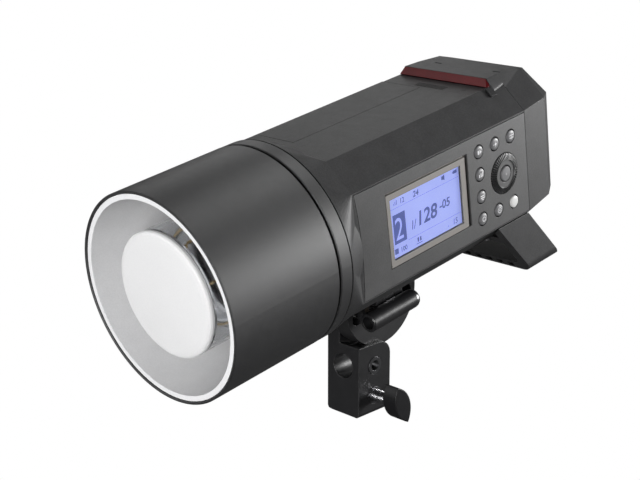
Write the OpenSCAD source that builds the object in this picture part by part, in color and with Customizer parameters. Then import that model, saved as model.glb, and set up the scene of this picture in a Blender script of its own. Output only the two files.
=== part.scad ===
// Monolight strobe head on a tilt bracket, with its battery pack, lamp and controls.
// Frame: millimetres, +Z up, light leaves along -Y, controls on +X.
// The origin is the centre of the stand socket's mouth, in the bracket's bottom face.
// Head parts are drawn level along +Y from the reflector's mouth, then tilted as one.

/* [Bracket] */
// Nose-down angle of the head in the rest pose, degrees
tilt = 9; // [-30:1:45]
// Height of the tilt axis above the stand socket's mouth
pivot_z = 76.5; // [70:0.5:90]
// Tilt axis behind the centre plane of the socket
pivot_y = 8.5; // [0:0.5:15]
// Width of the stand block, across the tilt axis
block_w = 27; // [24:0.5:34]
// Depth of the stand block, along the head
block_d = 29; // [26:0.5:36]
// Height of the stand block
block_h = 47.5; // [42:0.5:60]
// Bore for a 5/8 inch lighting stud
stud_d = 16.5; // [16:0.1:17]
// Thickness of the ear that carries the tilt bolt
ear_t = 10; // [7:0.5:12]
// Radius of the friction disc under the head
disc_r = 32; // [24:0.5:34]
// Diameter of the tilt bolt
bolt_d = 10; // [8:0.5:12]
// Height of the lower clamp screw above the socket's mouth
screw_z = 13; // [10:0.5:18]
// Height of the crosswise stud bore
cross_z = 33; // [31:0.5:36]

/* [Reflector] */
// Outer diameter of the reflector barrel
barrel_d = 125; // [110:1:140]
// Length of the barrel from its mouth to the joint line
barrel_l = 78.8; // [70:0.5:95]
// Wall of the barrel
barrel_t = 1.6; // [1.2:0.1:3]
// Diameter of the frosted front of the lamp cover
cap_d = 75; // [70:1:95]
// Radius of the ring flash tube
tube_ring_r = 29; // [22:0.5:32]

/* [Housing] */
// Half width of the housing over its side flats
half_w = 53; // [48:0.5:60]
// Height of the top flat above the optical axis
top_w = 51.3; // [46:0.1:60]
// Distance of the bottom flat below the optical axis
bot_w = 45.1; // [40:0.1:55]
// Wall of the housing
wall = 2.6; // [2:0.1:4]
// Joint line between housing and rear cover
rear_v = 263.6; // [240:0.1:280]
// Back face of the rear cover
end_v = 295; // [270:0.5:310]

/* [Controls] */
// Diameter of a push button
button_d = 7.8; // [7:0.1:10]
// Pitch of the buttons along the head
pitch_v = 15.9; // [14:0.1:18]
// Pitch of the buttons across the head
pitch_w = 14.7; // [13:0.1:17]
// Diameter of the control dial
dial_d = 26; // [22:0.5:30]
// Grip teeth on the dial
dial_teeth = 48; // [30:1:72]

/* [Handle] */
// Thickness of the handle's legs and crossbar
grip_t = 7; // [5:0.5:9]
// Depth of the handle along the head
grip_d = 31.5; // [24:0.5:40]
// Lowest point of the handle below the optical axis
grip_w = 77.6; // [68:0.5:84]

/* [Hidden] */
$fn = 64;
eps = 0.01;
gap = 0.3;
barrel_r = barrel_d/2;
barrel_in = barrel_r - barrel_t;
piv_v = 162.7;
piv_w = -62.8;
ring_v = 79.2;
shoulder_v = 90;
corner_v = 104;
side_hi = 34.3;
side_lo = -33.3;
top_u = 36;
bot_u = 40;
// Housing section, right side from the bottom corner to the top corner
half_section = [[bot_u, -bot_w], [half_w, side_lo], [half_w, side_hi], [top_u, top_w]];
section = concat(half_section, [for (i = [3:-1:0]) [-half_section[i][0], half_section[i][1]]]);
panel_t = 2.4;
panel_u = half_w - panel_t;
// Button centres, [v, w]
dial_c = [239.7, 0.7];
col_v = 216;
row_w = 22.7;
buttons = concat([for (i = [0:3]) [col_v, row_w - i*pitch_w]],
    [for (i = [1:2]) [col_v + i*pitch_v, row_w]],
    [for (i = [1:2]) [col_v + i*pitch_v, row_w - 3*pitch_w + 0.2]]);
lcd_v = [130.8, 202];
lcd_w = [-21.2, 23.9];
lcd_open = [130.2, 205.2, -21.8, 25.2];
view_v = [133.6, 197.8];
view_w = [-17.4, 20.2];
fan_v = 266;
fan_w = 6;
fan_r = 23;
pack_u = -4.4;
pack_w = -22;
pack_v = [118.3, 231.9];
latch_v = [232.3, 253.4];
latch_travel = 4;
bolt_r = bolt_d/2;
run = 0.05;
socket_depth = 23.5;
screw_r = 4;
nut_r = 5.6;
black = [0.04, 0.04, 0.045];
char = [0.15, 0.15, 0.16];
grey = [0.3, 0.3, 0.31];
steel = [0.7, 0.7, 0.72];
gold = [0.8, 0.62, 0.3];

// ---------------------------------------------------------------- helpers
module head_frame() {
    translate([0, pivot_y, pivot_z]) rotate([tilt, 0, 0]) translate([0, -piv_v, -piv_w]) children();
}

module lever_frame() {
    translate([0, pivot_y, pivot_z]) rotate([tilt, 0, 0]) children();
}

// Solid of revolution about the optical axis from [radius, v] points
module turned(points, fn = 128) {
    rotate([-90, 0, 0]) rotate_extrude($fn = fn) polygon(points);
}

// Round bar along v from v0 to v1
module along_v(r, v0, v1, u = 0, w = 0) {
    translate([u, v0, w]) rotate([-90, 0, 0]) cylinder(r = r, h = v1 - v0);
}

// Round bar along u from u0 to u1
module along_u(r, u0, u1, v = 0, w = 0) {
    translate([u0, v, w]) rotate([0, 90, 0]) cylinder(r = r, h = u1 - u0);
}

module box(lo, hi) {
    translate(lo) cube(hi - lo);
}

// Prism along v with a [u, w] outline
module prism_v(points, v0, v1) {
    translate([0, v1, 0]) rotate([90, 0, 0]) linear_extrude(height = v1 - v0) polygon(points);
}

// Prism along u with a [v, w] outline
module prism_u(points, u0, u1) {
    translate([u0, 0, 0]) rotate([90, 0, 90]) linear_extrude(height = u1 - u0) polygon(points);
}

// The housing section moved inwards by d
function inset(d) = let (k = d*0.414)
    [[bot_u - k, -bot_w + d], [half_w - d, side_lo + k], [half_w - d, side_hi - k],
     [top_u - k, top_w - d], [-top_u + k, top_w - d], [-half_w + d, side_hi - k],
     [-half_w + d, side_lo + k], [-bot_u + k, -bot_w + d]];

// Round shoulder that blends from the barrel's circle into the flat-sided housing
module shoulder() {
    hull() {
        along_v(62.35, shoulder_v, shoulder_v + 0.05, $fn = 120);
        prism_v(section, corner_v, corner_v + 0.05);
    }
    turned([[0, shoulder_v], [62.35, shoulder_v], [44.8, shoulder_v + 35], [0, shoulder_v + 35]]);
}

// Screw with a pan head and a cross slot, pointing along -z, head top at z = 0
module pan_screw(r = 1.5, len = 8, head = 2.9) {
    difference() {
        union() {
            translate([0, 0, -1.6]) cylinder(r = head, h = 1.6, $fn = 32);
            translate([0, 0, -1.6 - len]) cylinder(r = r, h = len + eps, $fn = 24);
        }
        for (a = [0, 90]) rotate([0, 0, a]) translate([-1.8, -0.4, -0.9]) cube([3.6, 0.8, 1]);
    }
}

// ---------------------------------------------------------------- bracket
function tangent(p, side) = let (c = [pivot_y, pivot_z], d = c - p, l = norm(d),
    a = atan2(d[1], d[0]) + side*asin(ear_r/l), t = sqrt(l*l - ear_r*ear_r))
    p + t*[cos(a), sin(a)];
ear_r = 14;
foot_r = 3.4;
ear_front = [-block_d/2, 62];
ear_back = [block_d/2, 50];

module bracket_body() {
    color(black) difference() {
        union() {
            difference() {
                intersection() {
                    prism_u([[-block_d/2, 1], [-block_d/2 + 1, 0], [block_d/2 - 1, 0],
                        [block_d/2, 1], [block_d/2, block_h], [-block_d/2, block_h]],
                        -block_w/2, block_w/2);
                    union() {
                        box([-block_w, -block_d, foot_r], [block_w, block_d, block_h + 1]);
                        box([-block_w/2 + foot_r, -block_d, -1], [block_w/2 - foot_r, block_d, 20]);
                        for (x = [-1, 1]) along_v(foot_r, -block_d, block_d,
                            x*(block_w/2 - foot_r), foot_r);
                    }
                }
                difference() {
                    box([-block_w, block_d/2 - 10, block_h - 10], [block_w, block_d, block_h + 1]);
                    along_u(10, -block_w - 1, block_w + 1, block_d/2 - 10, block_h - 10);
                }
            }
            prism_u([[-block_d/2, 30], [block_d/2, 30], ear_back, tangent(ear_back, -1),
                [pivot_y, pivot_z], tangent(ear_front, 1), ear_front],
                -block_w/2, -block_w/2 + ear_t);
            along_u(ear_r, -block_w/2, -block_w/2 + ear_t, pivot_y, pivot_z);
        }
        // recess for the friction disc
        box([-block_w/2 + ear_t, -block_d/2 + 3, block_h - 4.2], [block_w/2 - 2.2, 60, block_h + 60]);
        // stand socket and crosswise bore
        translate([0, 0, -1]) cylinder(d = stud_d, h = socket_depth + 1, $fn = 96);
        along_v(stud_d/2, -block_d, block_d, 0, cross_z, $fn = 96);
        for (z = [screw_z, cross_z]) along_u(nut_r + 0.02, 4, block_w, 0, z);
        along_u(bolt_r + run, -block_w, block_w, pivot_y, pivot_z);
        along_u(12.2, -block_w, -block_w/2 + 1.2, pivot_y, pivot_z);
    }
}

// Steel bush in the block, cut back to the stud bore it opens into
module bush(z, r, upright) {
    color(steel) difference() {
        along_u(nut_r, 6, block_w/2 + 0.4, 0, z);
        along_u(r, 4, block_w, 0, z);
        if (upright) translate([0, 0, -1]) cylinder(r = stud_d/2 + gap, h = 60, $fn = 96);
        else along_v(stud_d/2 + gap, -30, 30, 0, z, $fn = 96);
    }
}

module thread_insert_lower() bush(screw_z, screw_r + run, true);

module thread_insert_upper() bush(cross_z, 3.4, false);

module tilt_bolt() {
    color(steel) difference() {
        union() {
            along_u(bolt_r, -block_w/2 - 0.5, 17.5, pivot_y, pivot_z);
            translate([-block_w/2 - 5.8, pivot_y, pivot_z]) rotate([0, 90, 0])
                cylinder(r = 8.6, h = 5.4, $fn = 6);
        }
        translate([-block_w/2 - 6, pivot_y, pivot_z]) rotate([0, 90, 0])
            cylinder(r = 3.4, h = 3.5, $fn = 6);
    }
}

module bolt_washers() {
    color(steel) for (x = [[-block_w/2 - 0.4, -block_w/2 + 1.1], [11.1, 12.3]]) difference() {
        along_u(x[0] < 0 ? 11.5 : 10, x[0], x[1], pivot_y, pivot_z);
        along_u(bolt_r + run, x[0] - 1, x[1] + 1, pivot_y, pivot_z);
    }
}

module clamp_screw() {
    color(steel) difference() {
        union() {
            along_u(screw_r, 8.7, 31, 0, screw_z);
        }
        for (x = [10:1.25:23.75]) translate([x, 0, screw_z]) rotate([0, 90, 0]) difference() {
            cylinder(r = screw_r + 0.02, h = 0.5);
            cylinder(r = screw_r - 0.45, h = 0.5);
        }
    }
}

module wing_knob() {
    lens_r = 17.8;
    lens_off = 11.4;
    color(black) difference() {
        translate([27.4, 0, screw_z]) rotate([21, 0, 0]) rotate([90, 0, 90]) union() {
            linear_extrude(height = 10.6) intersection() {
                translate([lens_off, 0]) circle(r = lens_r, $fn = 96);
                translate([-lens_off, 0]) circle(r = lens_r, $fn = 96);
            }
            cylinder(r = 5.6, h = 8);
        }
        along_u(screw_r + 0.03, 27, 31.2, 0, screw_z);
    }
}

// Lever turns on the bolt; its bar lies beside the friction disc
bar_y = [-26.2, 18];
bar_x = 22.6;
bar_z = -4.9;
bar_r = 6.2;

module lever_hub() {
    color(black) lever_frame() difference() {
        union() {
            along_u(12, 12.6, 17.8);
            prism_u([[-15, bar_z - 4.2], [9, bar_z - 4.2], [9, bar_z + 4.2], [-15, bar_z + 4.2]], 13.4, 20);
            along_v(4.2, -20, 12, bar_x, bar_z);
        }
        along_u(bolt_r + run, 10, 17.8);
    }
}

module lever_bar() {
    color(black) lever_frame() difference() {
        translate([bar_x, bar_y[0], bar_z]) rotate([-90, 0, 0]) rotate_extrude($fn = 96)
            polygon([[4.25, 0], [5.6, 0], [bar_r, 0.6], [bar_r, 40.2], [5.9, 41.8], [5.2, 43.1],
                [4.0, 43.9], [2.4, 44.3], [0, 44.4], [0, 38.4], [4.25, 38.4]]);
        // the hub's web enters the bar through this slot
        box([10, -15.2, bar_z - 4.5], [bar_x, 12.3, bar_z + 4.5]);
    }
}

// ---------------------------------------------------------------- tilt joint on the head
tongue_x = [-3.1, 10.8];

module tilt_tongue() {
    color(grey) head_frame() difference() {
        union() {
            intersection() {
                along_u(disc_r, tongue_x[0], tongue_x[1], piv_v, piv_w, $fn = 128);
                box([-20, 100, -120], [20, 220, -bot_w - 0.2]);
            }
            box([tongue_x[0], 140, -bot_w - 4], [tongue_x[1], 185.4, -bot_w + wall + 0.6]);
            box([-17, 136, -bot_w + wall + 0.3], [25, 190, -bot_w + wall + 5]);
        }
        along_u(bolt_r + run, -20, 20, piv_v, piv_w);
        // seats for the friction pads
        for (x = [[tongue_x[0] - 1, tongue_x[0] + 1], [tongue_x[1] - 1, tongue_x[1] + 1]])
            along_u(16.2, x[0], x[1], piv_v, piv_w);
        // lightening pockets
        for (s = [-1, 1]) along_u(4.6, -20, 20, piv_v + s*23, piv_w - 6);
        for (u = [-12.5, 20.5]) for (v = [141, 185])
            translate([u, v, -60]) cylinder(r = 1.9, h = 40, $fn = 32);
    }
}

module friction_pads() {
    color(gold) head_frame() for (x = [[tongue_x[0] + 0.1, tongue_x[0] + 0.95],
            [tongue_x[1] - 0.95, tongue_x[1] - 0.1]]) difference() {
        along_u(16, x[0], x[1], piv_v, piv_w);
        along_u(bolt_r + 0.4, x[0] - 1, x[1] + 1, piv_v, piv_w);
    }
}

module tongue_screws() {
    color(steel) head_frame() for (u = [-12.5, 20.5]) for (v = [141, 185])
        translate([u, v, -bot_w - 0.9]) rotate([180, 0, 0]) pan_screw(1.8, 8.6, 3.1);
}

// ---------------------------------------------------------------- reflector
module barrel_shell() {
    color(black) head_frame() difference() {
        union() {
            turned([[barrel_in, 0.3], [barrel_in + 0.4, 0], [barrel_r - 0.3, 0], [barrel_r, 0.4],
                [barrel_r, barrel_l - 0.4], [barrel_r - 0.4, barrel_l], [43.6, barrel_l],
                [43.6, barrel_l - 3.2], [barrel_in, barrel_l - 3.2]], 160);
            turned([[43.6, barrel_l - 2], [46, barrel_l - 2], [46, 87], [43.6, 87]]);
            for (a = [20, 140, 260]) rotate([0, a, 0]) rotate([-90, 0, 0])
                rotate_extrude(angle = 34, $fn = 96) polygon([[45.9, 83.6], [48.4, 83.6],
                    [48.4, 86.4], [45.9, 86.4]]);
        }
        // detent holes in the flange
        for (a = [0:60:300]) rotate([0, a, 0]) along_v(2, 70, 82, 53, 0, $fn = 32);
    }
}

module reflector_liner() {
    color([0.85, 0.85, 0.85]) head_frame() turned([[57.5, 0.9], [60.6, 0.9], [60.6, 3.2], [58.9, 4.4],
        [49.4, 62.6], [60.6, 74.2], [60.6, 75.2], [59.6, 75.2], [48.2, 63.4], [44.2, 63.4], [44.2, 62.2],
        [47.8, 61.6], [57.2, 3.4]], 160);
}

// ---------------------------------------------------------------- lamp
cap_r = cap_d/2;
cap_pts = [for (i = [0:8]) [(cap_r - 3.9)*i/8, 3.8 + 1.2*pow(i/8, 2)]];

module diffuser_cap() {
    color([0.95, 0.95, 0.97]) head_frame() turned(concat(cap_pts,
        [[cap_r - 1.8, 5.4], [cap_r - 0.6, 6], [cap_r, 7], [cap_r, 8.6], [cap_r - 2.2, 8.6],
         [cap_r - 2.2, 7.8], [cap_r - 3.6, 6.9], [0, 5.4]]));
}

module glass_cylinder() {
    color([0.9, 0.95, 1, 0.35]) head_frame() difference() {
        turned([[cap_r - 4.4, 8.2], [cap_r - 2.4, 8.2], [cap_r - 2.4, 8.9], [cap_r - 0.1, 8.9],
            [cap_r - 0.1, 66], [cap_r - 2.3, 66], [cap_r - 2.3, 11.2], [cap_r - 4.4, 9.8]]);
        // a small vent hole
        along_u(1.5, 20, 60, 60, 0, $fn = 24);
    }
}

tube_r = 4.3;
tube_v = 40;
tube_gap = 18;
leg_r = 4.7;
leg_a = [tube_gap, 360 - tube_gap];
function ring_at(a) = [tube_ring_r*sin(a), tube_ring_r*cos(a)];

module flash_tube() {
    color([0.95, 0.93, 0.85, 0.5]) head_frame() {
        rotate([-90, 0, 0]) rotate([0, 0, -90 + tube_gap]) translate([0, 0, tube_v])
            rotate_extrude(angle = 360 - 2*tube_gap, $fn = 128)
                translate([tube_ring_r, 0]) circle(r = tube_r, $fn = 32);
        for (a = leg_a) {
            p = ring_at(a);
            along_v(leg_r, tube_v - 5, 62, p[0], p[1]);
        }
    }
}

module tube_caps() {
    color(gold) head_frame() {
        for (a = leg_a) {
            p = ring_at(a);
            difference() {
                along_v(5.3, 55, 74, p[0], p[1], $fn = 48);
                along_v(leg_r + run, 54, 62.1, p[0], p[1], $fn = 48);
            }
        }
        // clips round the tube
        for (a = [70, 130, 230, 290]) {
            p = ring_at(a);
            difference() {
                translate([p[0], tube_v, p[1]]) rotate([0, a, 0])
                    translate([-1.2, 0, 0]) rotate([0, 90, 0]) cylinder(r = 5.4, h = 2.4, $fn = 48);
                rotate([-90, 0, 0]) translate([0, 0, tube_v]) rotate_extrude($fn = 96)
                    translate([tube_ring_r, 0]) circle(r = tube_r + 0.1, $fn = 32);
            }
            along_v(1, tube_v + 5, 66, p[0], p[1], $fn = 24);
        }
    }
}

module trigger_wire() {
    color(gold) head_frame() {
        rotate([-90, 0, 0]) translate([0, 0, tube_v - tube_r - 1.9]) rotate_extrude($fn = 96)
            translate([tube_ring_r, 0]) circle(r = 0.6, $fn = 16);
        along_v(0.6, tube_v - tube_r - 1.9, 66, 0, tube_ring_r, $fn = 16);
    }
}

module lamp_plate() {
    color(steel) head_frame() difference() {
        turned([[12, 66.4], [43, 66.4], [43, 68.2], [12, 68.2]]);
        for (a = leg_a) {
            p = ring_at(a);
            along_v(5.7, 60, 70, p[0], p[1]);
        }
        for (a = [70, 130, 230, 290]) {
            p = ring_at(a);
            along_v(1.2, 60, 70, p[0], p[1], $fn = 24);
        }
        along_v(0.9, 60, 70, 0, -tube_ring_r, $fn = 24);
    }
}

module lamp_socket() {
    color([0.9, 0.89, 0.85]) head_frame() difference() {
        turned([[15, 68.5], [38, 68.5], [38, 76], [42, 78], [42, 98], [15, 98]]);
        for (a = leg_a) {
            p = ring_at(a);
            along_v(5.7, 60, 110, p[0], p[1]);
        }
        for (a = [0:60:300]) rotate([0, a + 30, 0]) along_v(1.8, 60, 110, 36, 0, $fn = 24);
    }
}

module led_module() {
    color(steel) head_frame() difference() {
        union() {
            along_v(11.6, 58, 68.2);
            along_v(14, 57, 60);
        }
        along_v(9.1, 50, 58.2);
        for (a = [45:90:315]) rotate([0, a, 0]) along_v(0.9, 50, 62, 11.4, 0, $fn = 24);
    }
}

module led_chip() {
    color([0.95, 0.85, 0.3]) head_frame() along_v(9, 57.2, 58.1);
}

module led_heatsink() {
    color(steel) head_frame() {
        along_v(7, 68.6, 104);
        for (i = [0:9]) rotate([0, 11 + 36*i, 0]) box([6.2, 70, -0.7], [14.4, 103.4, 0.7]);
    }
}

module mount_ring() {
    color(black) head_frame() difference() {
        turned([[46.4, ring_v], [60.4, ring_v], [60.4, 80.7], [62.0, 80.7], [62.4, 81.1],
            [62.4, 89], [62.1, 89.3], [56, 89.3], [56, 91], [46.4, 91], [46.4, 87.4],
            [49, 87.4], [49, 83.2], [46.4, 83.2]], 160);
        // lug entries
        for (a = [-18, 102, 222]) rotate([0, a, 0]) rotate([-90, 0, 0])
            rotate_extrude(angle = 37, $fn = 96) polygon([[45, 78], [48.8, 78], [48.8, 83.9], [45, 83.9]]);
    }
}

// ---------------------------------------------------------------- housing
module body_shell() {
    color(char) head_frame() difference() {
        union() {
            shoulder();
            prism_v(section, corner_v, rear_v - 0.3);
        }
        // inside
        turned([[0, 80], [56.3, 80], [56.3, 91.4], [48.6, 98.5], [48.6, 116], [0, 116]]);
        difference() {
            prism_v(inset(wall), 110, rear_v + 1);
            // walls of the battery bay, floor of the latch's seat and pocket for its pin
            box([-60, pack_v[0] - gap - 2.4, pack_w - gap - 2],
                [pack_u + gap + 2, pack_v[1] + gap + 2.4, 60]);
            box([-60, pack_v[1], top_w - 5.4], [top_u + 1, latch_v[1] + 2, 60]);
            box([pack_u - 18, pack_v[1], top_w - 14], [pack_u - 4, latch_v[0] + 14, 60]);
        }
        prism_v(inset(wall + 1.6), 105, 111);
        // battery bay, open to the left and top
        box([-60, pack_v[0] - gap, pack_w - gap], [pack_u + gap, pack_v[1] + gap, 60]);
        // seat of the battery latch
        box([-top_u - 20, latch_v[0] - 0.1, top_w - 3.4], [top_u - 0.9, latch_v[1] + 0.1, 60]);
        box([pack_u - 16, pack_v[1] - 1, top_w - 12], [pack_u - 6, latch_v[0] + 12, 60]);
        // seat and window of the control panel
        prism_u(panel_outline(0), panel_u - 0.05, 70);
        box([30, 122, side_lo + 5], [60, rear_v - 4, side_hi - 5]);
        // slot for the tongue and holes for its screws
        box([tongue_x[0] - 0.4, 139.4, -60], [tongue_x[1] + 0.4, 186, -35]);
        for (u = [-12.5, 20.5]) for (v = [141, 185])
            translate([u, v, -60]) cylinder(r = 2, h = 22, $fn = 32);
        for (u = [-12.5, 20.5]) for (v = [141, 185])
            translate([u, v, -bot_w - 1]) cylinder(r = 3.4, h = 1.9, $fn = 32);
        // handle screws
        for (s = [-1, 1]) for (v = [243, 259])
            translate([s*33, v, -60]) cylinder(r = 1.7, h = 22, $fn = 32);
        // release slider window on the left of the shoulder
        box([-64, 91.8, -6.3], [-40, 100.6, 6.3]);
    }
}

// Control panel outline grown by -d: its front edge follows the shoulder
function panel_outline(d) = let (h = (side_hi - side_lo)/2 - 0.7 - d)
    concat([[rear_v + 1 - 5*d, 0.5 - h], [rear_v + 1 - 5*d, 0.5 + h]],
        [for (k = [8:-1:-8]) [corner_v + 1.2 + d + 2.4*(1 - pow(k/8, 2)), 0.5 + h*k/8]]);

module release_slider() {
    color(black) head_frame() difference() {
        union() {
            box([-61.2, 92.6, -5.9], [-54, 99.4, 2.1]);
            box([-53.8, 92.2, -4], [-50, 99.4, 0]);
            box([-54.4, 92.6, -4], [-53.6, 99.4, 0]);
        }
        for (k = [-4.6:1.6:1]) box([-62, 92, k], [-60.6, 100, k + 0.6]);
    }
}

// ---------------------------------------------------------------- control side
module control_panel() {
    color(grey) head_frame() difference() {
        prism_u(panel_outline(gap), panel_u + 0.05, half_w + 0.15);
        box([40, lcd_open[0], lcd_open[2]], [60, lcd_open[1], lcd_open[3]]);
        for (b = buttons) along_u(button_d/2 + 0.8, 40, 60, b[0], b[1], $fn = 48);
        along_u(dial_d/2 + 0.5, 40, 60, dial_c[0], dial_c[1], $fn = 96);
    }
}

module lcd_bezel() {
    color([0.45, 0.42, 0.4]) head_frame() difference() {
        union() {
            box([panel_u - 1.2, lcd_v[0], lcd_w[0]], [half_w + 0.35, lcd_v[1], lcd_w[1]]);
            // black carrier that fills the rest of the cut-out
            box([panel_u - 3, lcd_open[0] + 0.3, lcd_open[2] + 0.3],
                [panel_u + 0.9, lcd_open[1] - 0.3, lcd_open[3] - 0.3]);
        }
        box([40, view_v[0], view_w[0]], [60, view_v[1], view_w[1]]);
        box([panel_u + 0.9, view_v[0] - 1, view_w[0] - 1],
            [panel_u + 2.25, view_v[1] + 1, view_w[1] + 1]);
    }
}

module lcd_glass() {
    color([0.9, 0.95, 1, 0.3]) head_frame()
        box([panel_u + 1, view_v[0] - 0.8, view_w[0] - 0.8],
            [panel_u + 2.1, view_v[1] + 0.8, view_w[1] + 0.8]);
}

module lcd_display() {
    color([0.6, 0.65, 0.95]) head_frame() union() {
        box([46.6, lcd_v[0] + 1, lcd_w[0] + 1], [panel_u - 3.2, lcd_v[1] - 1, lcd_w[1] - 1]);
        box([panel_u - 3.3, view_v[0] + 0.2, view_w[0] + 0.2],
            [panel_u + 0.7, view_v[1] - 0.2, view_w[1] - 0.2]);
    }
}

// Domed cap with a flange behind the panel and a stem to its switch
module push_button(b, r = button_d/2) {
    translate([0, b[0], b[1]]) rotate([0, 90, 0]) rotate_extrude($fn = 64)
        polygon([[0, 47.9], [1.6, 47.9], [1.6, 48.6], [r + 1.4, 48.6], [r + 1.4, 50.2], [r, 50.2],
            [r, half_w + 0.35], [r - 0.5, half_w + 0.75], [r*0.6, half_w + 1], [0, half_w + 1.1]]);
}

module button_1() color(grey) head_frame() push_button(buttons[0]);
module button_2() color(grey) head_frame() push_button(buttons[1]);
module button_3() color(grey) head_frame() push_button(buttons[2]);
module button_4() color(grey) head_frame() push_button(buttons[3]);
module button_5() color(grey) head_frame() push_button(buttons[4]);
module button_6() color(grey) head_frame() push_button(buttons[5]);
module button_7() color(grey) head_frame() push_button(buttons[6]);
module button_8() color([0.95, 0.95, 0.95]) head_frame() push_button(buttons[7]);

module dial_ring() {
    r = dial_d/2;
    color(grey) head_frame() translate([0, dial_c[0], dial_c[1]]) rotate([0, 90, 0]) difference() {
        rotate_extrude($fn = 120)
            polygon([[5.2, 49], [14.2, 49], [14.2, 50.2], [r, 50.2], [r, half_w + 0.6],
                [r - 4, half_w + 1.7], [r - 4.3, half_w + 1.1], [5.8, half_w + 1.1],
                [5.2, half_w + 0.6]]);
        for (k = [0:dial_teeth - 1]) rotate([0, 0, 360*k/dial_teeth])
            translate([r - 3.9, -0.42, half_w - 0.4]) cube([5, 0.84, 3]);
    }
}

module dial_button() {
    color(grey) head_frame() translate([0, dial_c[0], dial_c[1]]) rotate([0, 90, 0])
        rotate_extrude($fn = 64) polygon([[0, 47.9], [1.5, 47.9], [1.5, 48], [4.8, 48], [4.8, half_w + 1.3],
            [4.3, half_w + 1.8], [0, half_w + 2]]);
}

module control_board() {
    color([0.05, 0.3, 0.15]) head_frame() difference() {
        box([44.6, 128, -27], [46.2, 258, 28]);
        for (v = [131, 207.6, 255]) for (w = [-24.5, 25.6])
            along_u(1.5, 40, 50, v, w, $fn = 24);
    }
}

module tact_switches() {
    color(char) head_frame() {
        for (b = concat(buttons, [dial_c])) {
            box([46.2, b[0] - 2.6, b[1] - 2.6], [46.8, b[0] + 2.6, b[1] + 2.6]);
            along_u(1.2, 46.8, 47, b[0], b[1], $fn = 24);
        }
        difference() {
            along_u(12.6, 46.2, 48.6, dial_c[0], dial_c[1]);
            along_u(8, 46, 49, dial_c[0], dial_c[1]);
        }
    }
}

// ---------------------------------------------------------------- power parts
pack_section = [[pack_u, pack_w], [pack_u, top_w], [-top_u, top_w], [-half_w, side_hi],
    [-half_w, pack_w]];
cells = [for (u = [-41, -20.6]) for (w = [-9.8, 9.7, 29.2]) [u + (w > 20 && u < -30 ? 1.6 : 0), w]];

module battery_case() {
    color(char) head_frame() difference() {
        prism_v(pack_section, pack_v[0], pack_v[1]);
        prism_v([[pack_u - 2, pack_w + 2.2], [pack_u - 2, top_w - 2.4], [-top_u + 1, top_w - 2.4],
            [-half_w + 2.4, side_hi - 1], [-half_w + 2.4, pack_w + 2.2]], pack_v[0] + 2.4, pack_v[1] - 2.4);
        // catch for the latch, open towards the bay's inner wall, contact window and thumb groove
        box([pack_u - 15, pack_v[1] - 1.6, top_w - 9], [pack_u + 1, pack_v[1] + 1, top_w - 4.6]);
        box([pack_u - 2.5, 200, -12], [pack_u + 1, 222, 8]);
        for (k = [0:4]) box([-60, 150 + k*12, -14], [-half_w + 0.9, 154 + k*12, 22]);
    }
}

module battery_cells() {
    color([0.2, 0.45, 0.35]) head_frame() for (c = cells) along_v(9.1, 124, 189, c[0], c[1]);
}

module battery_latch() {
    color(char) head_frame() difference() {
        union() {
            prism_v([[-top_u - 2.7, top_w - 3.2], [top_u - 1.1, top_w - 3.2], [top_u - 1.1, top_w - 0.2],
                [-top_u + 0.3, top_w - 0.2]], latch_v[0] + 0.2, latch_v[1] - latch_travel - 0.1);
            box([pack_u - 14.6, latch_v[0] + 0.2, top_w - 8.6], [pack_u - 7.4, latch_v[0] + 6, top_w - 3]);
            box([pack_u - 14.6, pack_v[1] - 1.3, top_w - 8.6], [pack_u - 7.4, latch_v[0] + 1, top_w - 5]);
        }
        // arrow mark
        translate([25.4, 239, top_w - 0.3]) rotate([0, 0, 180]) cylinder(r = 1.8, h = 1, $fn = 3);
        for (k = [0:3]) box([-12, 235 + 1.6*k, top_w - 0.5], [12, 235.7 + 1.6*k, top_w + 1]);
    }
}

module main_board() {
    color([0.05, 0.3, 0.15]) head_frame() union() {
        difference() {
            box([1, 120, 37.6], [33.5, 246, 39.2]);
            for (v = [123, 243]) for (u = [3.5, 31])
                translate([u, v, 30]) cylinder(r = 1.5, h = 12, $fn = 24);
        }
        box([4, 130, 39.1], [18, 150, 46]);
        box([20, 128, 39.1], [31, 142, 45]);
        box([5, 158, 39.1], [30, 176, 47]);
        box([6, 184, 39.1], [16, 200, 44]);
        for (v = [205:8:221]) translate([24, v, 39.1]) cylinder(r = 3, h = 7, $fn = 32);
        box([6, 206, 39.1], [17, 236, 42]);
    }
}

module capacitor_bank() {
    color([0.1, 0.12, 0.3]) head_frame() {
        for (w = [-17, 17.6]) along_v(16.4, 124, 214, 22, w);
        for (u = [-38, -24.5]) along_v(5.5, 130, 182, u, -33.6);
    }
}

// ---------------------------------------------------------------- rear end
rear_a = [[38, -39.5], [51.2, -30.5], [51.2, 35.8], [33.5, 53.4]];
rear_b = [[34, -35.5], [47.4, -27.5], [47.4, 36.6], [29.2, 50.8]];
hump_a = [[40.6, 46.6], [33.5, 56.2]];
hump_b = [[40.2, 46.6], [33.2, 55.6]];
function both(h) = concat(h, [for (i = [len(h) - 1:-1:0]) [-h[i][0], h[i][1]]]);

// Slab of a mirrored outline, thickness t from v
module slab(h, v, t) {
    prism_v(both(h), v, v + t);
}

module rear_outer() {
    hull() {
        slab(half_section, rear_v, 0.6);
        slab(rear_a, 287, 0.5);
    }
    hull() {
        slab(rear_a, 287, 0.5);
        slab(rear_b, end_v - 0.2, 0.2);
    }
}

module rear_hump() {
    hull() {
        slab(hump_a, 252.4, 0.5);
        slab(hump_b, 266, 0.5);
        slab([[40, 40], [33.4, 53.4]], 287, 0.5);
    }
    hull() {
        slab([[40, 40], [33.4, 53.4]], 286.6, 0.5);
        slab([[34, 40], [29.2, 50.8]], end_v - 0.2, 0.2);
    }
}

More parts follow.
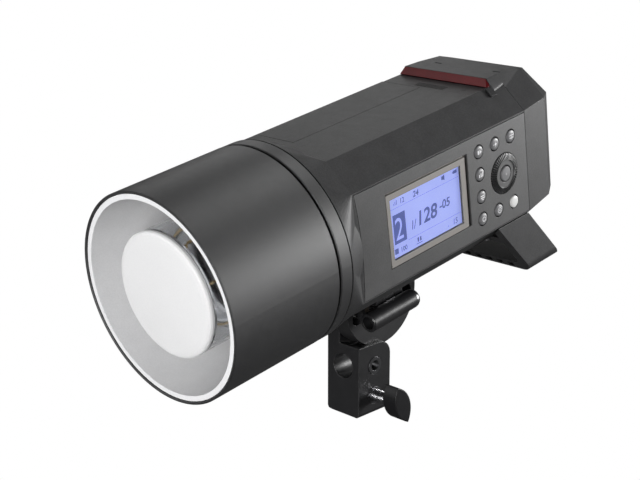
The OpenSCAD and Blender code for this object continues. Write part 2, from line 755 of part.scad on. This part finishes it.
module rear_cover() {
    color(char) head_frame() difference() {
        union() {
            rear_outer();
            difference() {
                rear_hump();
                prism_v(inset(-0.25), 240, rear_v + eps);
            }
        }
        // inside
        prism_v([[36, -36], [47.4, -28.5], [47.4, 33], [31, 48.6], [-31, 48.6], [-47.4, 33],
            [-47.4, -28.5], [-36, -36]], rear_v - 1, 287);
        prism_v([[30, 47], [30, 53], [-30, 53], [-30, 47]], rear_v - 1, 280);
        prism_v(both([[28, -31], [35, -26], [35, 32], [26, 46]]), 286.9, 291.6);
        // fan exhaust
        along_v(fan_r + 0.8, 270, 300, 0, fan_w, $fn = 96);
        // ports
        along_v(4.05, 270, 300, -34, -22, $fn = 48);
        box([27, 283, -29], [41, 299, -16.8]);
        // side vents on the left
        for (k = [0:4]) box([-60, 268, -20 + 9*k], [-40, 281, -16 + 9*k]);
        // slots on the hump
        for (u = [-19, 29]) box([u - 3, 268, 54.2], [u + 3, 269.6, 60]);
        // cover screws, countersunk in the back face
        for (u = [-40, 40]) for (w = [-6, 30]) {
            along_v(1.7, 270, 300, u, w, $fn = 32);
            along_v(3.3, end_v - 2.4, 300, u, w, $fn = 32);
        }
    }
}

module sensor_window() {
    color([0.35, 0.02, 0.03, 0.8]) head_frame() difference() {
        hull() {
            slab([[36.3, 51], [35.6, 51.9]], 249.5, 0.2);
            slab([[36.4, 51.2], [35.9, 52.6], [33.2, 56.1]], 252, 0.2);
        }
        prism_v(inset(-0.2), 240, 262);
    }
}

module sensor_slot() {
    color(black) head_frame()
        prism_v([[36.8, 50.9], [41, 46.7], [41.7, 47.4], [37.5, 51.6]], 246.6, 252.1);
}

module fan_grille() {
    color(black) head_frame() translate([0, 0, fan_w]) {
        for (r = [5, 10.5, 16, 21.5]) turned([[r, 292.4], [r + 1.2, 292.4], [r + 1.2, 294], [r, 294]], 96);
        for (a = [0:45:135]) rotate([0, a, 0]) box([-23.4, 291.6, -0.7], [23.4, 293.2, 0.7]);
        turned([[21.5, 289], [23.6, 289], [23.6, 294], [21.5, 294]], 96);
    }
}

module fan_frame() {
    color(black) head_frame() difference() {
        box([-27, fan_v, fan_w - 27], [27, fan_v + 15, fan_w + 27]);
        along_v(fan_r + 1.2, fan_v - 1, fan_v + 12.4, 0, fan_w, $fn = 96);
        difference() {
            along_v(fan_r + 1.2, fan_v + 12.3, fan_v + 20, 0, fan_w, $fn = 96);
            along_v(9, fan_v + 12, fan_v + 20, 0, fan_w);
            for (a = [45:90:315]) translate([0, 0, fan_w]) rotate([0, a, 0])
                box([8, fan_v + 12, -1.2], [26, fan_v + 20, 1.2]);
        }
        for (s = [-1, 1]) for (t = [-1, 1]) along_v(1.6, fan_v - 1, fan_v + 16, s*23.6, fan_w + t*23.6,
            $fn = 32);
    }
}

module fan_rotor() {
    color(char) head_frame() translate([0, 0, fan_w]) {
        along_v(9, fan_v + 1, fan_v + 11.8);
        for (k = [0:6]) rotate([0, 360*k/7, 0]) translate([8, fan_v + 6.4, 0]) rotate([38, 0, 0])
            box([0, -6, -0.7], [14.6, 6, 0.7]);
    }
}

module sync_socket() {
    color(steel) head_frame() difference() {
        union() {
            along_v(4, 279, 293.6, -34, -22, $fn = 48);
            along_v(5, 277, 285, -34, -22, $fn = 48);
        }
        along_v(1.8, 281, 300, -34, -22, $fn = 48);
    }
}

module port_block() {
    color(steel) head_frame() difference() {
        box([27.4, 279, -28.6], [40.6, 289, -17.4]);
        box([29.4, 282, -24.8], [38.6, 293, -21.4]);
    }
}

module port_cover() {
    color(black) head_frame() difference() {
        union() {
            box([27.3, 293, -28.7], [40.7, end_v + 0.6, -17.3]);
            box([29.8, 289.4, -24.4], [38.2, 293.2, -21.8]);
        }
        box([31, end_v, -27.2], [37, end_v + 2, -26]);
    }
}

module cover_screws() {
    color(steel) head_frame() for (u = [-40, 40]) for (w = [-6, 30])
        translate([u, end_v - 0.8, w]) rotate([-90, 0, 0]) pan_screw(1.5, 7, 2.9);
}

// ---------------------------------------------------------------- handle
lean = 0.785;

// Side outline of the handle as [v, w], swept back towards the bottom
grip_front = 232.2;
function lean_v(w) = grip_front + (-36 - w)*lean;
side_outline = [[lean_v(-30), -30], [lean_v(-30) + grip_d, -30],
    [lean_v(-grip_w - 1) + grip_d, -grip_w - 1], [lean_v(-grip_w - 1), -grip_w - 1]];

// Rounded loop in the [u, w] plane
module loop_solid(u, lo, r, v0, v1) {
    for (s = [-1, 1]) along_v(r, v0, v1, s*(u - r), lo + r, $fn = 64);
    prism_v([[-u, lo + r], [-u + r, lo], [u - r, lo], [u, lo + r], [u, -20], [-u, -20]], v0, v1);
}

module handle() {
    color(char) head_frame() difference() {
        intersection() {
            difference() {
                loop_solid(half_w, -grip_w, 9, 215, 300);
                loop_solid(half_w - grip_t, -grip_w + grip_t, 4, 214, 301);
            }
            prism_u(side_outline, -60, 60);
            // stays under the housing's lower edge
            prism_v([[-60, -90], [60, -90], [60, side_lo - 0.6], [half_w + 0.1, side_lo - 0.6],
                [bot_u + 0.2, -bot_w - 0.4], [-bot_u - 0.2, -bot_w - 0.4],
                [-half_w - 0.1, side_lo - 0.6], [-60, side_lo - 0.6]], 210, 300);
        }
        // finger grooves inside the front edge
        for (k = [-4:4])
            box([k*9 - 2.6, 240, -grip_w + 1.8], [k*9 + 2.6, lean_v(-grip_w) + 8, -grip_w + 5.2]);
    }
    color(char) head_frame() difference() {
        prism_u([[lean_v(-46), -bot_w - 0.35], [lean_v(-46) + 26, -bot_w - 0.35],
            [lean_v(-50) + 26, -bot_w - 5], [lean_v(-50), -bot_w - 5]], -half_w + grip_t - 0.5,
            half_w - grip_t + 0.5);
        for (s = [-1, 1]) for (v = [243, 259]) translate([s*33, v, -60]) cylinder(r = 1.7, h = 22, $fn = 32);
        for (s = [-1, 1]) for (v = [243, 259])
            translate([s*33, v, -bot_w - 6]) cylinder(r = 3.2, h = 3.2, $fn = 32);
    }
}

module handle_screws() {
    color(steel) head_frame() for (s = [-1, 1]) for (v = [243, 259])
        translate([s*33, v, -bot_w - 4.6]) rotate([180, 0, 0]) pan_screw(1.5, 7.5, 2.9);
}

// ---------------------------------------------------------------- assembly
bracket_body();
thread_insert_lower();
thread_insert_upper();
tilt_bolt();
bolt_washers();
clamp_screw();
wing_knob();
lever_hub();
lever_bar();
tilt_tongue();
tongue_screws();
friction_pads();
barrel_shell();
reflector_liner();
diffuser_cap();
glass_cylinder();
flash_tube();
tube_caps();
trigger_wire();
lamp_plate();
lamp_socket();
led_module();
led_chip();
led_heatsink();
mount_ring();
body_shell();
release_slider();
control_panel();
lcd_bezel();
lcd_glass();
lcd_display();
button_1();
button_2();
button_3();
button_4();
button_5();
button_6();
button_7();
button_8();
dial_ring();
dial_button();
control_board();
tact_switches();
battery_case();
battery_cells();
battery_latch();
main_board();
capacitor_bank();
rear_cover();
sensor_window();
sensor_slot();
fan_grille();
fan_frame();
fan_rotor();
sync_socket();
port_cover();
port_block();
handle();
handle_screws();
cover_screws();
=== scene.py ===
import math

import bmesh
import bpy
from mathutils import Matrix, Vector


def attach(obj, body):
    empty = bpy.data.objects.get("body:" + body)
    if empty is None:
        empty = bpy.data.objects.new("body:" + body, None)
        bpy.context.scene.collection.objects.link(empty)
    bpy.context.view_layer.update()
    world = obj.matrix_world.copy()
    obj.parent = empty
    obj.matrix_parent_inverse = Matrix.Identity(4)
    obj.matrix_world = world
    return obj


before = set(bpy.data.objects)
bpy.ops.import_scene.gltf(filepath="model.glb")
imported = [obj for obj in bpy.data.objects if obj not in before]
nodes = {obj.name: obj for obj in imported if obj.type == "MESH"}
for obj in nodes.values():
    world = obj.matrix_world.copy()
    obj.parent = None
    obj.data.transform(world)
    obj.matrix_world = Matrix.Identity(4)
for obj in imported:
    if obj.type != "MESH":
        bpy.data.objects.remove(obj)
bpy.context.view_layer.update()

# ---------------------------------------------------------------- head frame, millimetres
# U points to the control side, V runs back along the optical axis and W points up from it
MM = 0.001
TILT = math.radians(9)
PIVOT = Vector((0, 8.5, 76.5))
PIVOT_V, PIVOT_W = 162.7, -62.8
U = Vector((1, 0, 0))
V = Vector((0, math.cos(TILT), math.sin(TILT)))
W = Vector((0, -math.sin(TILT), math.cos(TILT)))
SIDE_U = 53


def head(u, v, w):
    """A point of the head, from head-frame millimetres to the row frame in metres."""
    return (PIVOT + U * u + V * (v - PIVOT_V) + W * (w - PIVOT_W)) * MM


def on_side(u, v, w):
    """Matrix of a drawing on the control side: x runs along the head, y up it."""
    matrix = Matrix((V, W, U)).transposed().to_4x4()
    matrix.translation = head(u, v, w)
    return matrix


# ---------------------------------------------------------------- materials
COAT_ROUGH = 0.1
SUBSURFACE_RADIUS = (0.004, 0.004, 0.004)
BUMP_DEPTH = 0.0003
# Cosines between the bevelled and the real normal where an edge is lightened fully and not at all,
# partly as wear and partly as a painted highlight
WEAR_AND_HIGHLIGHT_FULL, WEAR_AND_HIGHLIGHT_NONE = 0.86, 0.985


def shade(name, color, rough=0.5, metal=0.0, grain=(2600, 0.12), mottle=0.12, mottle_scale=90,
          rough_var=0.02, edge=0.0, edge_radius=0.0006, specular=0.5, coat=0.0, emission=None,
          emission_strength=0.0, transmission=0.0, ior=1.5, subsurface=0.0, brushed=None):
    """Principled material with cloudy colour, uneven roughness, grain in the normal and edges
    lightened partly as wear and partly as a painted highlight.

    grain is its scale and strength, and brushed stretches it along the axes.
    """
    mat = bpy.data.materials.new(name)
    mat.use_nodes = True
    tree = mat.node_tree
    link = tree.links.new
    out = tree.nodes["Principled BSDF"]
    out.inputs["Metallic"].default_value = metal
    out.inputs["Specular IOR Level"].default_value = specular
    out.inputs["Coat Weight"].default_value = coat
    out.inputs["Coat Roughness"].default_value = COAT_ROUGH
    out.inputs["Transmission Weight"].default_value = transmission
    out.inputs["IOR"].default_value = ior
    out.inputs["Subsurface Weight"].default_value = subsurface
    out.inputs["Subsurface Radius"].default_value = SUBSURFACE_RADIUS

    def noise(scale, detail, where):
        made = tree.nodes.new("ShaderNodeTexNoise")
        made.inputs["Scale"].default_value = scale
        made.inputs["Detail"].default_value = detail
        link(where, made.inputs["Vector"])
        return made.outputs["Fac"]

    def spread(value, low, high, from_low=0.3, from_high=0.7):
        made = tree.nodes.new("ShaderNodeMapRange")
        made.inputs["From Min"].default_value = from_low
        made.inputs["From Max"].default_value = from_high
        made.inputs["To Min"].default_value = low
        made.inputs["To Max"].default_value = high
        link(value, made.inputs["Value"])
        return made.outputs["Result"]

    def mix(factor, first, second):
        made = tree.nodes.new("ShaderNodeMix")
        made.data_type = "RGBA"
        if isinstance(factor, float):
            made.inputs["Factor"].default_value = factor
        else:
            link(factor, made.inputs["Factor"])
        for socket, tint in ((made.inputs[6], first), (made.inputs[7], second)):
            if isinstance(tint, tuple):
                socket.default_value = (*tint, 1)
            else:
                link(tint, socket)
        return made.outputs[2]

    def edge_wear_and_highlight(normal):
        """How much an edge is lightened, partly as wear and partly as a painted highlight: most where
        the bevelled normal leaves the real one.
        """
        geometry = tree.nodes.new("ShaderNodeNewGeometry")
        facing = tree.nodes.new("ShaderNodeVectorMath")
        facing.operation = "DOT_PRODUCT"
        link(normal, facing.inputs[0])
        link(geometry.outputs["Normal"], facing.inputs[1])
        patchy = tree.nodes.new("ShaderNodeMath")
        patchy.operation = "MULTIPLY"
        link(spread(facing.outputs["Value"], edge, 0, WEAR_AND_HIGHLIGHT_FULL, WEAR_AND_HIGHLIGHT_NONE), patchy.inputs[0])
        link(spread(noise(mottle_scale * 5, 3, place), 0.35, 1), patchy.inputs[1])
        return patchy.outputs["Value"]

    place = tree.nodes.new("ShaderNodeTexCoord").outputs["Object"]
    fine_place = place
    if brushed:
        stretch = tree.nodes.new("ShaderNodeMapping")
        stretch.inputs["Scale"].default_value = brushed
        link(place, stretch.inputs["Vector"])
        fine_place = stretch.outputs["Vector"]

    dark = tuple(c * (1 - mottle) for c in color)
    light = tuple(min(1.0, c * (1 + mottle)) for c in color)
    clouds = mix(spread(noise(mottle_scale, 4, place), 0, 1), dark, light)
    specks = mix(spread(noise(grain[0] * 0.6, 2, fine_place), 0, 1, 0.35, 0.65), dark, light)
    surface = mix(0.5, clouds, specks)

    bump = tree.nodes.new("ShaderNodeBump")
    bump.inputs["Strength"].default_value = grain[1]
    bump.inputs["Distance"].default_value = BUMP_DEPTH
    link(noise(grain[0], 3, fine_place), bump.inputs["Height"])
    if edge_radius:
        bevel = tree.nodes.new("ShaderNodeBevel")
        bevel.samples = 4
        bevel.inputs["Radius"].default_value = edge_radius
        link(bevel.outputs["Normal"], bump.inputs["Normal"])
        if edge:
            # edges lightened in the base colour, partly as wear and partly as a painted highlight
            wear_and_highlight_tint = tuple(min(1.0, c * 1.6 + 0.06) for c in color)
            surface = mix(edge_wear_and_highlight(bevel.outputs["Normal"]), surface, wear_and_highlight_tint)
    link(bump.outputs["Normal"], out.inputs["Normal"])
    link(surface, out.inputs["Base Color"])
    link(spread(noise(mottle_scale * 2.3, 5, place), rough - rough_var, rough + rough_var),
         out.inputs["Roughness"])
    if emission:
        out.inputs["Emission Color"].default_value = (*emission, 1)
        out.inputs["Emission Strength"].default_value = emission_strength
    return mat


bracket_black = shade("bracket_black", (0.013, 0.013, 0.014), 0.36, grain=(1500, 0.22), edge=0.8,
                      edge_radius=0.0008, mottle=0.2)
lever_black = shade("lever_black", (0.012, 0.012, 0.013), 0.3, grain=(900, 0.04), edge=0.2,
                    specular=0.9)
insert_dark = shade("insert_dark", (0.10, 0.10, 0.105), 0.35, 0.9, grain=(900, 0.08), edge=0.6,
                    edge_radius=0.0003)
screw_steel = shade("screw_steel", (0.60, 0.60, 0.62), 0.26, 1.0, grain=(900, 0.05), edge=0.4,
                    edge_radius=0.0003, brushed=(1, 6, 6))
knob_black = shade("knob_black", (0.009, 0.009, 0.010), 0.4, grain=(1700, 0.14), edge=0.3,
                   edge_radius=0.0012, specular=0.3)
disc_grey = shade("disc_grey", (0.02, 0.02, 0.021), 0.38, grain=(1300, 0.12), edge=0.7, coat=0.15)
pad_brown = shade("pad_brown", (0.05, 0.04, 0.03), 0.8, grain=(1800, 0.5), mottle=0.35)
barrel_black = shade("barrel_black", (0.016, 0.016, 0.017), 0.5, grain=(2300, 0.2), mottle=0.14,
                     edge=0.35, edge_radius=0.0004, specular=1.0)
liner_silver = shade("liner_silver", (0.86, 0.86, 0.87), 0.55, 0.0, grain=(1900, 0.18), mottle=0.05,
                     edge_radius=0.0004)
frosted = shade("frosted_glass", (0.84, 0.84, 0.845), 0.38, grain=(2100, 0.08), mottle=0.03,
                subsurface=0.35, mottle_scale=30)
clear_glass = shade("clear_glass", (0.97, 0.98, 1.0), 0.06, grain=(300, 0.02), mottle=0.01,
                    rough_var=0.03, transmission=1.0, ior=1.47, edge_radius=0)
brass = shade("brass", (0.80, 0.60, 0.30), 0.22, 1.0, grain=(800, 0.05), mottle=0.15)
lamp_aluminium = shade("lamp_aluminium", (0.66, 0.66, 0.67), 0.34, 1.0, grain=(900, 0.08),
                       brushed=(8, 1, 8))
lamp_ceramic = shade("lamp_ceramic", (0.78, 0.75, 0.70), 0.6, grain=(1500, 0.2))
led_yellow = shade("led_yellow", (0.85, 0.72, 0.15), 0.35, grain=(900, 0.05))
shell_charcoal = shade("shell_charcoal", (0.030, 0.030, 0.031), 0.48, grain=(1500, 0.4), mottle=0.25,
                       edge=0.35, edge_radius=0.0006, specular=0.3)
panel_grey = shade("panel_grey", (0.060, 0.060, 0.061), 0.46, grain=(1500, 0.3), mottle=0.18,
                   edge=0.4, edge_radius=0.0003)
bezel_taupe = shade("bezel_taupe", (0.27, 0.255, 0.24), 0.36, grain=(1500, 0.08), mottle=0.06,
                    edge=0.5, edge_radius=0.0004)
lcd_cover = shade("lcd_glass", (0.93, 0.95, 1.0), 0.03, grain=(200, 0.01), mottle=0.01,
                  rough_var=0.02, transmission=1.0, ior=1.3, edge_radius=0)
lcd_blue = shade("lcd_blue", (0.28, 0.32, 0.60), 0.4, grain=(3000, 0.02), mottle=0.05,
                 mottle_scale=45, emission=(0.40, 0.46, 0.93), emission_strength=0.68, edge_radius=0)
lcd_ink = shade("lcd_ink", (0.06, 0.08, 0.22), 0.4, grain=(3000, 0.02), mottle=0.1,
                emission=(0.10, 0.13, 0.42), emission_strength=0.6, edge_radius=0)
button_grey = shade("button_grey", (0.15, 0.15, 0.155), 0.42, grain=(1900, 0.12), mottle=0.1,
                    edge=0.3, edge_radius=0.0004)
dial_black = shade("dial_black", (0.02, 0.02, 0.021), 0.4, grain=(1900, 0.14), edge=0.9,
                   edge_radius=0.00035)
button_white = shade("button_white", (0.72, 0.72, 0.71), 0.35, grain=(1900, 0.08), mottle=0.05,
                     subsurface=0.2, edge_radius=0.0004)
icon_white = shade("icon_white", (0.75, 0.75, 0.76), 0.5, grain=(2500, 0.05), mottle=0.05,
                   edge_radius=0)
board_green = shade("board_green", (0.02, 0.12, 0.05), 0.3, grain=(600, 0.1), mottle=0.35)
switch_black = shade("switch_black", (0.018, 0.018, 0.019), 0.4, grain=(1500, 0.1))
cell_green = shade("cell_green", (0.05, 0.22, 0.13), 0.3, grain=(700, 0.06))
capacitor_blue = shade("capacitor_blue", (0.02, 0.035, 0.12), 0.25, grain=(700, 0.05))
sensor_red = shade("sensor_red", (0.09, 0.002, 0.004), 0.3, grain=(400, 0.02), mottle=0.2,
                   edge_radius=0.0003)
# near-black, put on the inner walls of the handle's opening as painted shade
handle_opening_shade = shade("handle_opening_shade", (0.008, 0.008, 0.008), 0.7, grain=(900, 0.5), mottle=0.3,
                    specular=0.25)
trim_black = shade("trim_black", (0.014, 0.014, 0.015), 0.4, grain=(1900, 0.14), edge=0.4,
                   edge_radius=0.0004)

# Which nodes wear each material
FINISH = {
    bracket_black: ["bracket_body", "lever_hub"],
    lever_black: ["lever_bar"],
    insert_dark: ["thread_insert_lower", "thread_insert_upper"],
    screw_steel: ["tilt_bolt", "bolt_washers", "clamp_screw", "tongue_screws", "handle_screws",
                  "cover_screws", "sync_socket", "port_block"],
    knob_black: ["wing_knob"],
    disc_grey: ["tilt_tongue"],
    pad_brown: ["friction_pads"],
    barrel_black: ["barrel_shell", "mount_ring"],
    liner_silver: ["reflector_liner"],
    frosted: ["diffuser_cap"],
    clear_glass: ["glass_cylinder", "flash_tube"],
    brass: ["tube_caps", "trigger_wire"],
    lamp_aluminium: ["lamp_plate", "led_module", "led_heatsink"],
    lamp_ceramic: ["lamp_socket"],
    led_yellow: ["led_chip"],
    shell_charcoal: ["body_shell", "rear_cover", "battery_case", "battery_latch", "handle"],
    panel_grey: ["control_panel"],
    bezel_taupe: ["lcd_bezel"],
    lcd_cover: ["lcd_glass"],
    lcd_blue: ["lcd_display"],
    button_grey: [f"button_{i}" for i in range(1, 8)] + ["dial_button"],
    dial_black: ["dial_ring"],
    button_white: ["button_8"],
    board_green: ["control_board", "main_board"],
    switch_black: ["tact_switches"],
    cell_green: ["battery_cells"],
    capacitor_blue: ["capacitor_bank"],
    sensor_red: ["sensor_window"],
    trim_black: ["release_slider", "sensor_slot", "fan_grille", "fan_frame", "fan_rotor",
                 "port_cover"],
}
for material, names in FINISH.items():
    for name in names:
        mesh = nodes[name].data
        mesh.materials.clear()
        mesh.materials.append(material)


def repaint(name, material, centre, chosen):
    """A second material on the faces of a node that chosen(spot, normal) picks, spot from centre."""
    mesh = nodes[name].data
    mesh.materials.append(material)
    for face in mesh.polygons:
        spot = nodes[name].matrix_world @ face.center - centre
        if chosen(spot, face.normal):
            face.material_index = 1


# the dial's flat middle matches the panel around it
DIAL_V, DIAL_W, DISC_R = 239.7, 0.7, 8.9
repaint("dial_ring", panel_grey, head(SIDE_U, DIAL_V, DIAL_W),
        lambda spot, normal: math.hypot(spot.dot(V), spot.dot(W)) < DISC_R * MM)

# the walls of the handle's opening, which run along V and face its middle, painted near-black as
# painted shade
OPENING_V, OPENING_W = 240, -56
ALONG_V = 0.3
repaint("handle", handle_opening_shade, head(0, OPENING_V, OPENING_W),
        lambda spot, normal: (abs(normal.dot(V)) < ALONG_V
                              and spot.x * normal.x + spot.dot(W) * normal.dot(W) < 0))


# ---------------------------------------------------------------- drawn marks
INK_DEPTH = 0.02
ICON_DEPTH = 0.04
ICON_U = SIDE_U + 1.09


def text_mesh(body, size, slant=0.0, stretch=1.0, bold=0.0):
    """Digits as a mesh, in millimetres from their lower left corner."""
    curve = bpy.data.curves.new("text", "FONT")
    curve.body = body
    curve.size = size * MM
    curve.shear = slant
    curve.extrude = INK_DEPTH / 2 * MM
    curve.offset = bold * MM
    made = bpy.data.objects.new("text", curve)
    bpy.context.scene.collection.objects.link(made)
    mesh = bpy.data.meshes.new_from_object(made)
    bpy.data.objects.remove(made)
    mesh.transform(Matrix.Diagonal((stretch, 1, 1, 1)))
    return mesh


def flat(points, height=INK_DEPTH):
    """Thin plate with a polygon outline, points in millimetres."""
    bm = bmesh.new()
    face = bm.faces.new([bm.verts.new((x * MM, y * MM, 0)) for x, y in points])
    grown = bmesh.ops.extrude_face_region(bm, geom=[face])
    moved = [g for g in grown["geom"] if isinstance(g, bmesh.types.BMVert)]
    bmesh.ops.translate(bm, verts=moved, vec=(0, 0, height * MM))
    bmesh.ops.recalc_face_normals(bm, faces=bm.faces)
    mesh = bpy.data.meshes.new("plate")
    bm.to_mesh(mesh)
    bm.free()
    return mesh


def rect(x0, y0, x1, y1):
    """Outline of a box between two corners."""
    return [(x0, y0), (x1, y0), (x1, y1), (x0, y1)]


def arc(radius, end, steps=28):
    """Points on a circle about the origin, from angle 0 towards end and stopping a step short."""
    return [(radius * math.cos(end * i / steps), radius * math.sin(end * i / steps))
            for i in range(steps)]


def ring(radius, thick):
    """Outline of a ring cut open at one place, as one polygon."""
    return arc(radius, 2 * math.pi) + arc(radius - thick, 2 * math.pi * 0.9999)[::-1]


def piece(name, parts, material, body):
    """One object from meshes and their matrices, riding on a body."""
    bm = bmesh.new()
    for mesh, matrix in parts:
        mesh.transform(matrix)
        bm.from_mesh(mesh)
        bpy.data.meshes.remove(mesh)
    mesh = bpy.data.meshes.new(name)
    bm.to_mesh(mesh)
    bm.free()
    mesh.materials.append(material)
    made = bpy.data.objects.new(name, mesh)
    bpy.context.scene.collection.objects.link(made)
    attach(made, body)
    return made


# ink on the display, in millimetres from the lower left corner of the lit area
LCD_U, LCD_V, LCD_W = 51.34, 133.8, -17.2


def on_lcd(x=0, y=0, lift=0):
    return on_side(LCD_U + lift, LCD_V + x, LCD_W + y)


INK = [rect(2.6, 8.2, 13.4, 26.6), rect(1.2, 30.3, 63.0, 30.5), rect(14.5, 7.2, 63.0, 7.4),
       rect(2.0, 2.2, 5.2, 5.6), rect(58.6, 33.4, 62.2, 35.4), rect(57.8, 33.9, 58.4, 34.9),
       rect(47.8, 33.2, 49.0, 35.4), [(49.0, 33.2), (50.6, 32.4), (50.6, 36.2), (49.0, 35.4)],
       rect(4.4, 32.2, 4.9, 33.6), rect(5.6, 32.2, 6.1, 34.4), rect(6.8, 32.2, 7.3, 35.2),
       rect(21.0, 1.6, 26.6, 2.1), rect(22.2, 2.9, 23.6, 5.6), rect(24.4, 2.9, 25.8, 5.6)]
# digits: what they say, height, x, y, slant and stretch
BOLD = 0.022
TEXTS = [("128", 12.6, 22.6, 12.6, 0.12, 1.0), ("1/", 7.6, 17.4, 12.4, 0.2, 0.75),
         ("-05", 7.6, 43.8, 15.4, 0.12, 1.0), ("12", 4.6, 9.8, 31.8, 0.0, 0.9),
         ("24", 5.2, 21.4, 31.6, 0.15, 1.0), ("100", 4.2, 7.0, 2.2, 0.0, 0.95),
         ("15", 5.2, 55.0, 1.6, 0.1, 0.9), (".", 4.2, 50.4, 2.2, 0.0, 1.0)]
marks = [(flat(outline), on_lcd()) for outline in INK]
marks += [(text_mesh(digits, size, slant, stretch, BOLD * size), on_lcd(x, y))
          for digits, size, x, y, slant, stretch in TEXTS]
piece("lcd_segments", marks, lcd_ink, "head")
piece("lcd_block_number", [(text_mesh("2", 19.5, stretch=0.78), on_lcd(3.6, 10.4, lift=0.04))],
      lcd_blue, "head")

# button centres, (v, w): a column of four, then two more in the top row and two in the bottom row
COL_V, ROW_W, PITCH_V, PITCH_W = 216, 22.7, 15.9, 14.7
BUTTONS = [(COL_V, ROW_W - i * PITCH_W) for i in range(4)]
BUTTONS += [(COL_V + i * PITCH_V, ROW_W) for i in (1, 2)]
BUTTONS += [(COL_V + i * PITCH_V, ROW_W - 3 * PITCH_W + 0.2) for i in (1, 2)]
# one list of outlines for each button but the white one, in millimetres from its centre
BOLT = [(0.5, 2.0), (-1.3, -0.3), (-0.1, -0.3), (-0.6, -2.0), (1.3, 0.5), (0.1, 0.5)]
ICONS = [
    [rect(-1.9, -1.2, -0.5, 1.2), [(0, -1.3), (1.9, 0), (0, 1.3)]],
    [rect(-2.0, -1.5, -1.2, 0.4), rect(-0.5, -1.5, 0.3, 1.0), rect(1.0, -1.5, 1.8, 1.7)],
    [rect(-1.9, 0.5, 1.9, 1.2), rect(-1.9, -0.8, 1.9, -0.1), rect(-1.0, -1.9, 1.0, -1.3)],
    [ring(1.6, 0.5)],
    [BOLT, rect(-2.3, -0.3, -1.6, 0.3)],
    [rect(-1.9, -1.1, 1.9, -0.5), rect(-1.9, 0.5, 1.9, 1.1), rect(-0.3, -1.8, 0.3, 1.8)],
    [ring(1.9, 0.4), rect(-0.45, -0.45, 0.45, 0.45)],
]
for i, (outlines, (v, w)) in enumerate(zip(ICONS, BUTTONS), 1):
    piece(f"button_{i}_icon", [(flat(o, ICON_DEPTH), on_side(ICON_U, v, w)) for o in outlines],
          icon_white, f"button_{i}")

# ---------------------------------------------------------------- camera, as in the photograph
AZIMUTH, ELEVATION = math.radians(44.446), math.radians(16.552)
DISTANCE = 0.67096
TARGET = Vector((0.11457, -0.15229, 0.16875))
SENSOR, LENS = 36, 78.59
back = Vector((math.sin(AZIMUTH) * math.cos(ELEVATION), -math.cos(AZIMUTH) * math.cos(ELEVATION),
               math.sin(ELEVATION)))


def put(name, data, place, towards):
    """An object at a place, which looks in a direction."""
    made = bpy.data.objects.new(name, data)
    bpy.context.scene.collection.objects.link(made)
    made.location = place
    made.rotation_mode = "QUATERNION"
    made.rotation_quaternion = towards.to_track_quat("-Z", "Y")
    return made


camera = put("camera", bpy.data.cameras.new("camera"), TARGET + back * DISTANCE, -back)
camera.data.sensor_width = SENSOR
camera.data.lens = LENS
camera.data.clip_start = 0.01
bpy.context.scene.camera = camera

# ---------------------------------------------------------------- studio, metres and watts
AIM = Vector((0, 0, 0.11))
AMBIENT = 0.035
FLOOR_HALF, FLOOR_Z = 6.0, -0.35
FLOOR_REFLECTS = 0.03


def softbox(name, place, size, power):
    light = bpy.data.lights.new(name, "AREA")
    light.shape = "RECTANGLE"
    light.size, light.size_y = size
    light.energy = power
    put(name, light, place, AIM - Vector(place))


def seen_as(tree, seen, otherwise, output):
    """One shader for what the camera sees, another for the light that falls on the object."""
    path = tree.nodes.new("ShaderNodeLightPath")
    choose = tree.nodes.new("ShaderNodeMixShader")
    tree.links.new(path.outputs["Is Camera Ray"], choose.inputs["Fac"])
    tree.links.new(otherwise, choose.inputs[1])
    tree.links.new(seen, choose.inputs[2])
    tree.links.new(choose.outputs["Shader"], output.inputs["Surface"])


def white_light(tree, strength):
    glow = tree.nodes.new("ShaderNodeBackground")
    glow.inputs["Color"].default_value = (1, 1, 1, 1)
    glow.inputs["Strength"].default_value = strength
    return glow.outputs["Background"]


softbox("front_left", (-0.9, -1.5, 0.45), (1.0, 1.0), 7)
softbox("front_right", (0.65, -1.7, 0.12), (0.8, 0.8), 27)
softbox("right_rear", (1.0, 1.75, 0.42), (0.6, 0.6), 56)
softbox("left_rear_top", (-1.2, 1.0, 0.95), (0.9, 0.8), 3.2)
softbox("overhead", (0.02, 0.28, 0.78), (0.35, 0.35), 1.2)

world = bpy.data.worlds.new("studio")
bpy.context.scene.world = world
world.use_nodes = True
sky = world.node_tree
sky.nodes.clear()
seen_as(sky, white_light(sky, 1.0), white_light(sky, AMBIENT), sky.nodes.new("ShaderNodeOutputWorld"))

corners = [(-FLOOR_HALF, -FLOOR_HALF, 0), (FLOOR_HALF, -FLOOR_HALF, 0),
           (FLOOR_HALF, FLOOR_HALF, 0), (-FLOOR_HALF, FLOOR_HALF, 0)]
floor_mesh = bpy.data.meshes.new("floor")
floor_mesh.from_pydata(corners, [], [(0, 1, 2, 3)])
floor = bpy.data.objects.new("floor", floor_mesh)
floor.location.z = FLOOR_Z
bpy.context.scene.collection.objects.link(floor)

paper = bpy.data.materials.new("paper")
paper.use_nodes = True
sheet = paper.node_tree
surface = sheet.nodes["Principled BSDF"]
surface.inputs["Base Color"].default_value = (FLOOR_REFLECTS, FLOOR_REFLECTS, FLOOR_REFLECTS, 1)
surface.inputs["Roughness"].default_value = 1.0
glow = sheet.nodes.new("ShaderNodeEmission")
glow.inputs["Strength"].default_value = 1.0
seen_as(sheet, glow.outputs["Emission"], surface.outputs["BSDF"], sheet.nodes["Material Output"])
floor_mesh.materials.append(paper)

bpy.context.scene.view_settings.view_transform = "Standard"
bpy.context.scene.view_settings.look = "None"
